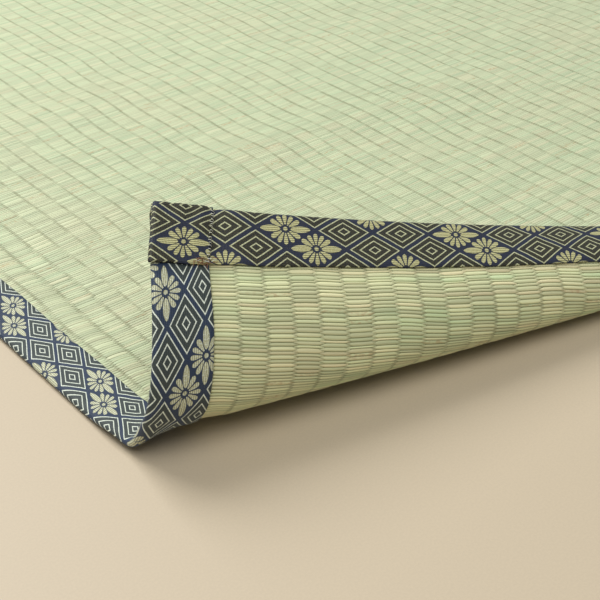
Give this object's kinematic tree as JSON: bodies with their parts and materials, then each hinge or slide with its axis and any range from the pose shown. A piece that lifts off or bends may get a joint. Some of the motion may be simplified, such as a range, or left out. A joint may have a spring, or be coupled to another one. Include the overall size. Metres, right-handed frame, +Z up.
{
  "type": "rush grass carpet",
  "caption": "Flat woven rush floor carpet with a patterned cloth tape around its edges, lying on a floor with one corner turned up and over so that its underside shows.",
  "frame": {"origin": "on the floor under the middle of the carpet", "axes": "+X across the width, along the rushes; +Y along the length, along the warp threads; +Z up. The turned-up corner is at -X, -Y"},
  "size_m": [0.8726, 1.7405, 0.0987],
  "materials": {
    "rush": "woven dried rush, pale green to straw, slightly glossy stems",
    "tape": "matt navy brocade tape with a pale flower and diamond pattern"
  },
  "bodies": {
    "root": {"rush_panel": "rush", "long_tape_left": "tape", "long_tape_right": "tape", "short_tape_front": "tape", "short_tape_back": "tape"}
  },
  "joints": []
}
